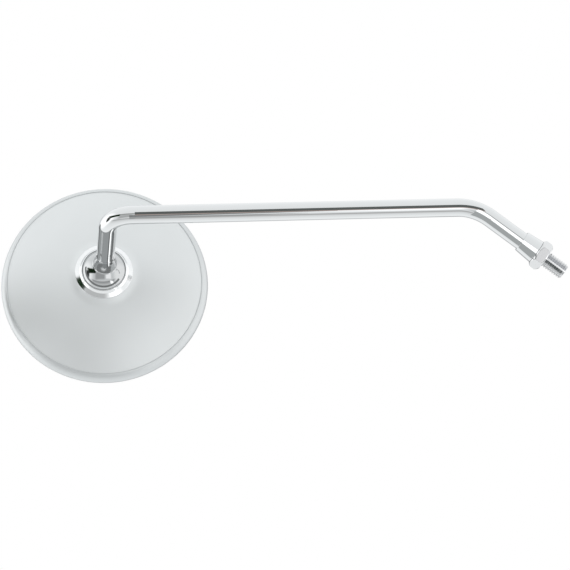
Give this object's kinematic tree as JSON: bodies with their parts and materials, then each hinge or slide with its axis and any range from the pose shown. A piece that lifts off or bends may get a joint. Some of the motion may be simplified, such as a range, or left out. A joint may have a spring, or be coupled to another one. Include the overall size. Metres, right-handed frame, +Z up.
{
  "type": "rear-view mirror",
  "caption": "Round chrome rear-view mirror for a scooter or motorcycle: dished head on a ball joint, bent rod stem, lock nut and metric mounting stud.",
  "frame": {"origin": "on the stud's axis at the seating face of the lock nut as stored, where the stem meets what it is screwed into", "axes": "-Z along the mounting stud, +Z up the end leg of the stem; the glass faces roughly +Y and the chromed back roughly -Y; the run of the stem leans towards -X"},
  "size_m": [0.2, 0.0906, 0.2361],
  "materials": {
    "chrome": "polished decorative chrome plate",
    "bright_steel": "thin bright plate on machined steel",
    "zinc_steel": "bright zinc plate",
    "spring_steel": "oiled spring steel",
    "nylon": "natural moulded nylon",
    "rubber": "matt moulded rubber",
    "foam": "closed-cell foam",
    "mirror_glass": "convex silvered glass"
  },
  "bodies": {
    "stem": {"stem_rod": "chrome", "ball_stud": "chrome", "neck_ring": "chrome", "threaded_stud": "bright_steel"},
    "sleeve": {"conical_sleeve": "chrome"},
    "nut": {"lock_nut": "bright_steel"},
    "front_seat": {"front_ball_seat": "nylon"},
    "rear_seat": {"rear_ball_seat": "nylon"},
    "head": {"back_shell": "chrome", "rim_bezel": "chrome", "ball_collar": "chrome", "support_plate": "zinc_steel", "pressure_plate": "zinc_steel", "clamp_screws": "zinc_steel", "clamp_washers": "zinc_steel", "clamp_springs": "spring_steel", "clamp_nuts": "zinc_steel", "mirror_glass": "mirror_glass", "glass_gasket": "rubber", "backing_pad": "foam"}
  },
  "joints": [
    {"name": "nut_slide", "type": "slide", "parent": "stem", "child": "sleeve", "axis": [0, 0, 1], "range_m": [-0.008, 0]},
    {"name": "nut_turn", "type": "hinge", "parent": "sleeve", "child": "nut", "pos_m": [0, 0, 0], "axis": [0, 0, 1], "range_deg": [-2300, 0]},
    {"name": "head_pan", "type": "hinge", "parent": "stem", "child": "front_seat", "pos_m": [-0.1365, 0.03318, 0.17418], "axis": [0, 0, 1], "range_deg": [-9, 27]},
    {"name": "head_tilt", "type": "hinge", "parent": "front_seat", "child": "rear_seat", "pos_m": [-0.1365, 0.03318, 0.17418], "axis": [0.9472, 0.3206, 0], "range_deg": [-18, 18]},
    {"name": "head_spin", "type": "hinge", "parent": "rear_seat", "child": "head", "pos_m": [-0.1365, 0.03318, 0.17418], "axis": [0.3169, -0.9363, 0.1513], "continuous": true}
  ],
  "couplings": [
    {"joint": "nut_slide", "follows": "nut_turn", "m_per_rad": 0.00019894}
  ]
}
